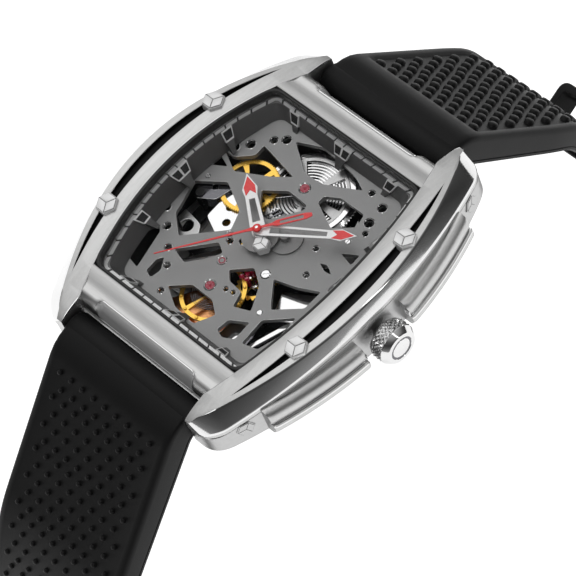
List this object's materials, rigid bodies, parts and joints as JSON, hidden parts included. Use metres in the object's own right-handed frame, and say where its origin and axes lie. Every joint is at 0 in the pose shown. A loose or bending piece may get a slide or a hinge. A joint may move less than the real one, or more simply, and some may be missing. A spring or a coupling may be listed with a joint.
{
  "type": "wristwatch",
  "caption": "Tonneau skeleton automatic wristwatch, brushed steel case with screwed rails and a fluted crown, on a studded black rubber strap with a pin buckle.",
  "frame": {"origin": "centre of the case back's outer face, under the hands' axis", "axes": "+X towards 3 o'clock and the crown, +Y towards 12 o'clock, +Z out through the crystal"},
  "size_m": [0.0451, 0.1239, 0.0734],
  "materials": {
    "brushed_steel": "brushed",
    "polished_steel": "polished",
    "blasted_plate": "sandblasted",
    "gilt_brass": "gilt",
    "ruby": "polished",
    "sapphire": "polished",
    "seal_rubber": "matt",
    "grey_dial_paint": "satin",
    "red_lacquer": "gloss",
    "strap_rubber": "satin"
  },
  "bodies": {
    "case": {"case_middle": "brushed_steel", "bezel": "brushed_steel", "crystal": "sapphire", "crystal_gasket": "seal_rubber", "chapter_ring": "grey_dial_paint", "bezel_screw_lower_left": "polished_steel", "bezel_screw_lower_right": "polished_steel", "bezel_screw_upper_left": "polished_steel", "bezel_screw_upper_right": "polished_steel", "side_screw_lower_left": "polished_steel", "side_screw_lower_right": "polished_steel", "side_screw_upper_left": "polished_steel", "side_screw_upper_right": "polished_steel", "crown_guard_upper": "brushed_steel", "crown_guard_lower": "brushed_steel", "side_bar_left": "brushed_steel", "case_back": "brushed_steel", "case_back_screw_lower_left": "polished_steel", "case_back_screw_lower_right": "polished_steel", "case_back_screw_upper_left": "polished_steel", "case_back_screw_upper_right": "polished_steel", "back_crystal": "sapphire", "crown_tube": "polished_steel", "main_plate": "blasted_plate", "movement_ring": "blasted_plate", "hairspring": "polished_steel", "barrel_jewel": "ruby", "balance_jewel": "ruby", "train_bridge": "blasted_plate", "balance_cock": "brushed_steel", "rotor_bearing": "polished_steel", "spring_bar_upper": "polished_steel", "spring_bar_lower": "polished_steel"},
    "setting_slide": {"setting_lever": "polished_steel"},
    "crown_stem": {"crown": "brushed_steel", "winding_stem": "polished_steel"},
    "crown_wheel_body": {"crown_wheel": "brushed_steel"},
    "ratchet_body": {"ratchet_wheel": "brushed_steel"},
    "rotor_body": {"rotor": "brushed_steel"},
    "barrel_body": {"mainspring_barrel": "polished_steel"},
    "second_body": {"second_wheel": "gilt_brass"},
    "third_body": {"third_wheel": "gilt_brass"},
    "seconds_body": {"fourth_wheel": "gilt_brass", "seconds_hand": "red_lacquer"},
    "escape_body": {"escape_wheel": "gilt_brass"},
    "pallet_body": {"pallet_fork": "polished_steel"},
    "balance_body": {"balance_wheel": "gilt_brass"},
    "minute_body": {"minute_hand": "polished_steel", "cannon_pinion": "polished_steel"},
    "minute_wheel_body": {"minute_wheel": "gilt_brass"},
    "hour_body": {"hour_hand": "polished_steel", "hour_wheel": "gilt_brass"},
    "strap_upper_body": {"strap_upper": "strap_rubber", "fixed_keeper": "strap_rubber", "buckle_bar": "polished_steel"},
    "strap_lower_body": {"strap_lower": "strap_rubber"},
    "free_keeper_body": {"free_keeper": "strap_rubber"},
    "buckle_body": {"buckle_frame": "brushed_steel"},
    "tang_body": {"buckle_tang": "polished_steel"}
  },
  "joints": [
    {"name": "crown_pull", "type": "slide", "parent": "case", "child": "setting_slide", "axis": [1, 0, 0], "range_m": [0, 0.001]},
    {"name": "crown_turn", "type": "hinge", "parent": "setting_slide", "child": "crown_stem", "pos_m": [0.012, 0, 0.00555], "axis": [1, 0, 0], "continuous": true},
    {"name": "crown_wheel_turn", "type": "hinge", "parent": "case", "child": "crown_wheel_body", "pos_m": [0.0056, 0.0038, 0.0041], "axis": [0, 0, 1], "continuous": true},
    {"name": "ratchet_turn", "type": "hinge", "parent": "case", "child": "ratchet_body", "pos_m": [-0.00095, 0.0085, 0.0041], "axis": [0, 0, 1], "continuous": true},
    {"name": "rotor_spin", "type": "hinge", "parent": "case", "child": "rotor_body", "pos_m": [0, 0, 0.0016], "axis": [0, 0, 1], "continuous": true},
    {"name": "seconds_turn", "type": "hinge", "parent": "case", "child": "seconds_body", "pos_m": [0, 0, 0.0036], "axis": [0, 0, -1], "continuous": true},
    {"name": "third_wheel_turn", "type": "hinge", "parent": "case", "child": "third_body", "pos_m": [-0.00464, 0.00166, 0.0043], "axis": [0, 0, -1], "continuous": true},
    {"name": "second_wheel_turn", "type": "hinge", "parent": "case", "child": "second_body", "pos_m": [-0.0076, 0.0049, 0.0062], "axis": [0, 0, -1], "continuous": true},
    {"name": "barrel_turn", "type": "hinge", "parent": "case", "child": "barrel_body", "pos_m": [-0.00095, 0.0085, 0.0053], "axis": [0, 0, -1], "continuous": true},
    {"name": "escape_wheel_turn", "type": "hinge", "parent": "case", "child": "escape_body", "pos_m": [0.0022, -0.00455, 0.0047], "axis": [0, 0, -1], "continuous": true},
    {"name": "pallet_rock", "type": "hinge", "parent": "case", "child": "pallet_body", "pos_m": [0.0005, -0.0069, 0.0047], "axis": [0, 0, 1], "range_deg": [-8, 8]},
    {"name": "balance_swing", "type": "hinge", "parent": "case", "child": "balance_body", "pos_m": [-0.0006, -0.0086, 0.0056], "axis": [0, 0, 1], "range_deg": [-270, 270], "stiffness_Nm_per_rad": 0.0000006},
    {"name": "minute_turn", "type": "hinge", "parent": "case", "child": "minute_body", "pos_m": [0, 0, 0.0095], "axis": [0, 0, -1], "continuous": true},
    {"name": "minute_wheel_turn", "type": "hinge", "parent": "case", "child": "minute_wheel_body", "pos_m": [0.0025, 0.0018, 0.0075], "axis": [0, 0, -1], "continuous": true},
    {"name": "hour_turn", "type": "hinge", "parent": "case", "child": "hour_body", "pos_m": [0, 0, 0.009], "axis": [0, 0, -1], "continuous": true},
    {"name": "strap_upper_swing", "type": "hinge", "parent": "case", "child": "strap_upper_body", "pos_m": [0, 0.02275, 0.0059], "axis": [-1, 0, 0], "range_deg": [0, 25]},
    {"name": "strap_lower_swing", "type": "hinge", "parent": "case", "child": "strap_lower_body", "pos_m": [0, -0.02275, 0.0059], "axis": [1, 0, 0], "range_deg": [0, 25]},
    {"name": "free_keeper_slide", "type": "slide", "parent": "strap_upper_body", "child": "free_keeper_body", "axis": [0, 0.3746, -0.9272], "range_m": [-0.006, 0.009]},
    {"name": "buckle_swing", "type": "hinge", "parent": "strap_upper_body", "child": "buckle_body", "pos_m": [0, 0.06086, -0.05976], "axis": [1, 0, 0], "range_deg": [-50, 40]},
    {"name": "tang_swing", "type": "hinge", "parent": "buckle_body", "child": "tang_body", "pos_m": [0, 0.06086, -0.05976], "axis": [1, 0, 0], "range_deg": [0, 20]}
  ],
  "couplings": [
    {"joint": "crown_wheel_turn", "follows": "crown_turn", "ratio": 0.25},
    {"joint": "ratchet_turn", "follows": "crown_turn", "ratio": -0.35294},
    {"joint": "third_wheel_turn", "follows": "seconds_turn", "ratio": -0.12},
    {"joint": "second_wheel_turn", "follows": "seconds_turn", "ratio": 0.014026},
    {"joint": "barrel_turn", "follows": "seconds_turn", "ratio": -0.0019126},
    {"joint": "escape_wheel_turn", "follows": "seconds_turn", "ratio": -11.429},
    {"joint": "minute_wheel_turn", "follows": "minute_turn", "ratio": -0.33333},
    {"joint": "hour_turn", "follows": "minute_turn", "ratio": 0.083333}
  ]
}
